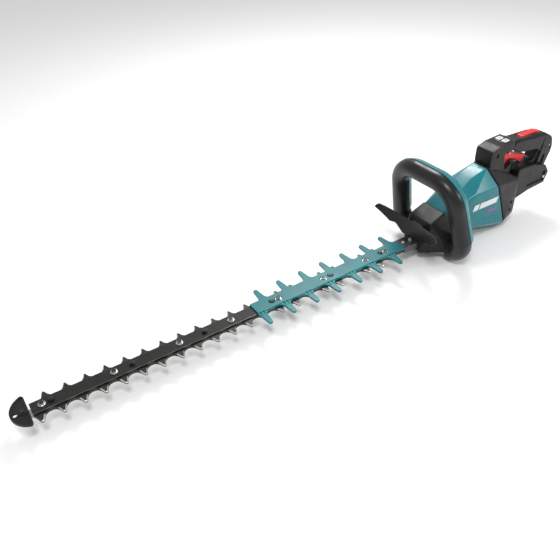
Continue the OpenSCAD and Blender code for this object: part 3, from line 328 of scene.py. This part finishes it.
# blade set
def ground_blade(node, name, top):
    """Shear blade whose teeth have ground flanks on the side away from the other blade."""
    bm = copy_of(node, whole_faces=False)
    low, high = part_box(node)
    face_z = high.z if top else low.z
    tooth_root = 17 * MM

    def flank(edge):
        a, b = edge.verts[0].co, edge.verts[1].co
        on_face = max(abs(a.z - face_z), abs(b.z - face_z)) < 0.01 * MM
        return on_face and min(abs(a.y), abs(b.y)) > tooth_root and sharp(edge, 60)

    flank_width = 1.7
    soften(bm, flank_width, flank, 1, 1)
    return settle(bm, name, body_of[node], [blade_plate, blade_ground], (node,), 20)


ground_blade("upper_shear_blade", "upper_blade_ground", True)
ground_blade("lower_shear_blade", "lower_blade_ground", False)
# the bar, cover, tip guard and holder get a lighter finish on their rounded edges as a painted edge
# highlight
rounded("guide_bar", "guide_bar_plate", [bar_oxide, bar_edge_highlight], 0.45, edge_highlight_finish=1)
rounded("blade_cover", "blade_cover_moulding", [teal_cover, teal_edge_highlight], 0.7, 40, 2, 1)
rounded("tip_guard", "tip_guard_moulding", [black_nylon, black_edge_highlight], 0.5, 50, 2, 1)
rounded("tip_bracket", "tip_bracket_plate", [zinc], 0.3)
rounded("blade_holder", "blade_holder_channel", [holder_steel, bar_edge_highlight], 0.5, 40, 2, 1)
rounded("lock_nuts", "lock_nut_set", [zinc], 0.35, 40)
rounded("guide_nuts", "guide_nut_set", [dark_steel], 0.35, 40)

# body
rounded("front_housing", "front_housing_moulding", [black_nylon, black_edge_highlight], 0.9, 30, 2)
# the hand guard's rounded edges get the lighter black as a painted edge highlight
rounded("hand_guard", "hand_guard_moulding", [black_nylon, black_edge_highlight], 0.8, 40, 2, 1)
rounded("front_grip", "front_grip_moulding", [grip_rubber], 0.6, 48, 2, crease=40)
rounded("seam_gasket", "seam_gasket_ring", [gasket], 0.4, 40)

# backing of the loop handle, left sharp at its thin feet
feet_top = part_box("handle_backing")[0].z + 8 * MM
bm = copy_of("handle_backing")
soften(bm, 0.8, lambda e: sharp(e, 48) and min(v.co.z for v in e.verts) > feet_top)
settle(bm, "handle_backing_moulding", body_of["handle_backing"], [teal_nylon],
       ("handle_backing",), 40)


def off_middle(edge):
    """True for edges away from the split down the middle of the tool."""
    return max(abs(v.co.y) for v in edge.verts) > 0.4 * MM


def round_grip(bm):
    """Rounds the long edges of the rear handle more than the rest of the housing."""
    low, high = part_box("rear_housing_left")
    handle_x = low.x + 86 * MM
    handle_z = low.z + 126 * MM
    handle_y = 12 * MM

    def on_handle(edge):
        return sharp(edge, 50) and all(
            v.co.x > handle_x and v.co.z > handle_z and abs(v.co.y) > handle_y for v in edge.verts)

    soften(bm, 2.0, on_handle, 3)


housings = {}
for side in ("left", "right"):
    for part, slot, finish, width in (("motor_housing", "teal_shell", teal_nylon, 1.0),
                                      ("rear_housing", "black_shell", black_nylon, 0.8)):
        node = f"{part}_{side}"
        bm = copy_of(node, whole_faces=False)
        if part == "rear_housing":
            round_grip(bm)
        soften(bm, width, lambda e: off_middle(e) and sharp(e, 31, 1.2), 2)
        housings[node] = settle(bm, f"{node}_moulding", body_of[node], [finish], (node,), 36)

# controls
rounded("trigger", "trigger_moulding", [red_nylon], 1.5, 50, 3, crease=40)
rounded("lock_lever", "lock_lever_moulding", [red_nylon], 1.4, 50, 3, crease=40)
rounded("control_panel", "control_panel_film", [panel_film], 0.3)
button_caps = {
    node: rounded(node, f"{node}_cap", [pale_film], 0.6, 50, 3)
    for node in ("power_button", "reverse_button")
}

# springs of the two controls, copied from their CAD coils
low_end, high_end = 0, 1
for node, joint, seat, keep in (("trigger_spring", "trigger_pull", high_end, 0.4),
                                ("lever_spring", "lock_lever_press", low_end, 0.32)):
    middle = middle_of(node)
    spring = settle(copy_of(node, whole_faces=False), f"{node}_coil", body_of[node],
                    [turned_steel], (node,), even=False)
    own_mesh(spring)



# ---------- fittings and marks ----------

def made_since(bm, start):
    """Points added to a bmesh after the set of points at the start."""
    return [v for v in bm.verts if v not in start]


def turned_to(axis):
    """Turn that lays a shape made along +Z along the given axis."""
    return Vector((0, 0, 1)).rotation_difference(Vector(axis)).to_matrix().to_4x4()


def screw_head(bm, seat, axis, radius, height):
    """Chamfered head with a six-lobed socket, standing on its seat."""
    start = set(bm.verts)
    bmesh.ops.create_cone(bm, cap_ends=True, segments=24, radius1=radius * MM, radius2=radius * MM,
                          depth=height * MM)
    made = made_since(bm, start)
    top = max({f for v in made for f in v.link_faces}, key=lambda f: f.calc_center_median().z)
    bmesh.ops.inset_individual(bm, faces=[top], thickness=radius * 0.18 * MM, depth=radius * 0.12 * MM)
    bmesh.ops.inset_individual(bm, faces=[top], thickness=radius * 0.3 * MM, depth=0)
    for index, vert in enumerate(top.verts):
        lobe = 1 + 0.13 * math.cos(index * math.pi / 2)
        vert.co = Vector((vert.co.x * lobe, vert.co.y * lobe, vert.co.z))
    bmesh.ops.inset_individual(bm, faces=[top], thickness=radius * 0.04 * MM, depth=-height * 0.6 * MM)
    made = made_since(bm, start)
    move = Matrix.Translation(seat) @ turned_to(axis) @ Matrix.Translation((0, 0, height * MM / 2))
    bmesh.ops.transform(bm, matrix=move, verts=made)


def ring(bm, centre, inner, outer, height):
    """Flat ring round +Z, standing on its centre."""
    start = set(bm.verts)
    bmesh.ops.create_circle(bm, segments=24, radius=outer * MM)
    made = made_since(bm, start)
    loop = list({e for v in made for e in v.link_edges})
    first = loop
    for scale, lift in ((1, height), (inner / outer, 0), (1, -height)):
        grown = bmesh.ops.extrude_edge_only(bm, edges=loop)["geom"]
        verts = [g for g in grown if isinstance(g, bmesh.types.BMVert)]
        loop = [g for g in grown if isinstance(g, bmesh.types.BMEdge)]
        bmesh.ops.scale(bm, vec=(scale, scale, 1), verts=verts)
        bmesh.ops.translate(bm, vec=(0, 0, lift * MM), verts=verts)
    bmesh.ops.bridge_loops(bm, edges=first + loop)
    made = made_since(bm, start)
    bmesh.ops.recalc_face_normals(bm, faces=list({f for v in made for f in v.link_faces}))
    bmesh.ops.translate(bm, vec=centre, verts=made)


def islands(node):
    """Boxes of the separate solids of a node that stand in a row along X."""
    places = sorted((v.co.copy() for v in nodes[node].data.vertices), key=lambda co: co.x)
    rows = [[places[0]]]
    for co in places[1:]:
        if co.x - rows[-1][-1].x > 2 * MM:
            rows.append([])
        rows[-1].append(co)
    return [(Vector(map(min, zip(*row))), Vector(map(max, zip(*row)))) for row in rows]


sunk = 0.3 * MM    # how deep a screw head sits in what it covers

# socket heads over the plain ends of the holder screws
bm = bmesh.new()
for low, high in islands("holder_screws"):
    centre = (low + high) / 2
    screw_head(bm, Vector((centre.x, centre.y, high.z - sunk)), (0, 0, 1), 3.9, 0.9)
settle(bm, "holder_screw_heads", body_of["holder_screws"], [zinc])

# side screws in their pockets
bm = bmesh.new()
low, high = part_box("handle_screws")
middle = middle_of("handle_screws")
for away, y in ((-1, low.y), (1, high.y)):
    seat = Vector((middle.x, y - away * sunk, middle.z))
    screw_head(bm, seat, (0, away, 0), 3.4, 0.9)
settle(bm, "handle_screw_heads", body_of["handle_screws"], [zinc])

# nylon rings that lock the nuts
bm = bmesh.new()
for low, high in islands("lock_nuts"):
    centre = (low + high) / 2
    ring(bm, Vector((centre.x, centre.y, high.z - 0.6 * MM)), 2.7, 3.9, 1.0)
settle(bm, "nut_nylon_rings", body_of["lock_nuts"], [nylon_ring])


start_away = 0.2      # metres from which flat shapes are dropped
film_sink = 0.05 * MM


def lay_on(bm, target, direction, height):
    """Drops flat shapes along a direction onto a piece, and gives them a thickness."""
    tree = BVHTree.FromObject(target, bpy.context.evaluated_depsgraph_get())
    direction = Vector(direction)
    for vert in bm.verts:
        hit = tree.ray_cast(vert.co - direction * start_away, direction)[0]
        if hit:
            vert.co = hit - direction * film_sink
    sheet = list(bm.faces)
    raised = bmesh.ops.extrude_face_region(bm, geom=sheet)["geom"]
    bmesh.ops.translate(bm, vec=-direction * height * MM,
                        verts=[g for g in raised if isinstance(g, bmesh.types.BMVert)])
    bmesh.ops.delete(bm, geom=sheet, context="FACES_ONLY")
    bmesh.ops.recalc_face_normals(bm, faces=bm.faces)


def slanted_bar(bm, x0, x1, z0, z1, slant):
    """Upright grid from x0 to x1 and z0 to z1 that leans towards +X."""
    start = set(bm.verts)
    bmesh.ops.create_grid(bm, x_segments=16, y_segments=4, size=0.5)
    made = made_since(bm, start)
    for vert in made:
        rise = (vert.co.y + 0.5) * (z1 - z0)
        vert.co = Vector((x0 + (vert.co.x + 0.5) * (x1 - x0) + rise * slant, 0, z0 + rise)) * MM


# plain bars and a small label, each from x0 to x1 and z0 to z1
film = 0.2
lean = 0.35
marks = {
    "pale_bars": (pale_film, ((54, 68, 84, 97), (71.5, 123, 84, 97))),
    "small_label": (violet_film, ((98, 126, 66, 73),)),
}
for side, away in (("left", -1), ("right", 1)):
    for name, (finish, bars) in marks.items():
        bm = bmesh.new()
        for bar in bars:
            slanted_bar(bm, *bar, lean)
        lay_on(bm, housings[f"motor_housing_{side}"], (0, -away, 0), film)
        settle(bm, f"{name}_{side}", body_of["motor_housing_left"], [finish], even=False)


def flat_ring(bm, inner, outer):
    bmesh.ops.create_circle(bm, segments=28, radius=outer * MM)
    grown = bmesh.ops.extrude_edge_only(bm, edges=list(bm.edges))["geom"]
    inside = [g for g in grown if isinstance(g, bmesh.types.BMVert)]
    bmesh.ops.scale(bm, vec=(inner / outer, inner / outer, 1), verts=inside)


def triangle(bm, radius):
    bmesh.ops.create_circle(bm, cap_ends=True, segments=3, radius=radius * MM)


# signs on the two buttons: a ring for power, a triangle for reverse
sign_film = 0.12
drop_z = 0.1
for node, name in (("power_button", "power_sign"), ("reverse_button", "reverse_sign")):
    bm = bmesh.new()
    if node == "power_button":
        flat_ring(bm, 2.3, 3.2)
    else:
        triangle(bm, 3.4)
    middle = middle_of(node)
    bmesh.ops.translate(bm, vec=(middle.x, middle.y, drop_z), verts=bm.verts)
    lay_on(bm, button_caps[node], (0, 0, -1), sign_film)
    settle(bm, name, body_of[node], [panel_film], even=False)


# ---------- stage ----------

def area_light(name, place_at, target, size, power, colour=(1, 1, 1)):
    data = bpy.data.lights.new(name, "AREA")
    data.shape = "DISK"
    data.size = size
    data.energy = power
    data.color = colour
    light = bpy.data.objects.new(name, data)
    light.location = place_at
    light.rotation_euler = (Vector(target) - Vector(place_at)).to_track_quat("-Z", "Y").to_euler()
    collection.objects.link(light)


floor_half = 30
floor_gap = 0.2 * MM
floor_bm = bmesh.new()
bmesh.ops.create_grid(floor_bm, x_segments=2, y_segments=2, size=floor_half)
bmesh.ops.translate(floor_bm, verts=floor_bm.verts, vec=(0, 0, cad_bounds[0][2] - floor_gap))
floor_mesh = bpy.data.meshes.new("studio_floor")
floor_bm.to_mesh(floor_mesh)
floor_bm.free()
floor_paper, _, floor_shader = blank_finish("pale_paper")
floor_shader.inputs["Base Color"].default_value = (0.82, 0.82, 0.82, 1)
floor_shader.inputs["Roughness"].default_value = 0.9
floor_mesh.materials.append(floor_paper)
floor = bpy.data.objects.new("studio_floor", floor_mesh)
collection.objects.link(floor)

world = bpy.data.worlds.new("studio_light")
bpy.context.scene.world = world
world.use_nodes = True
surround = world.node_tree.nodes["Background"]
surround.inputs["Color"].default_value = (1, 1, 1, 1)
surround.inputs["Strength"].default_value = 0.72
bpy.context.scene.view_settings.view_transform = "Standard"

centre = (-0.25, 0, 0.08)
area_light("key_softbox", (-0.9, -0.8, 1.7), centre, 0.5, 18)
area_light("top_softbox", (0.5, 0.9, 1.5), centre, 0.6, 20)
area_light("side_softbox", (0.9, -1.2, 0.8), (0.1, 0, 0.1), 0.45, 7)

# camera on the tool's near left, looking down along the blade
azimuth, elevation, roll = (math.radians(a) for a in (-31.51, 37.32, -2.81))
away = math.cos(elevation)
back = Vector((math.sin(azimuth) * away, -math.cos(azimuth) * away, math.sin(elevation)))
level = Vector((math.cos(azimuth), math.sin(azimuth), 0))
upright = back.cross(level)
right = math.cos(roll) * level + math.sin(roll) * upright
up = math.cos(roll) * upright - math.sin(roll) * level
camera_data = bpy.data.cameras.new("camera")
camera_data.sensor_width = 36
camera_data.lens = 39.0118
camera_data.clip_end = 60
camera = bpy.data.objects.new("camera", camera_data)
turn = Matrix((right, up, back)).transposed().to_4x4()
camera.matrix_world = Matrix.Translation((-0.8459, -0.7407, 0.7454)) @ turn
collection.objects.link(camera)
bpy.context.scene.camera = camera
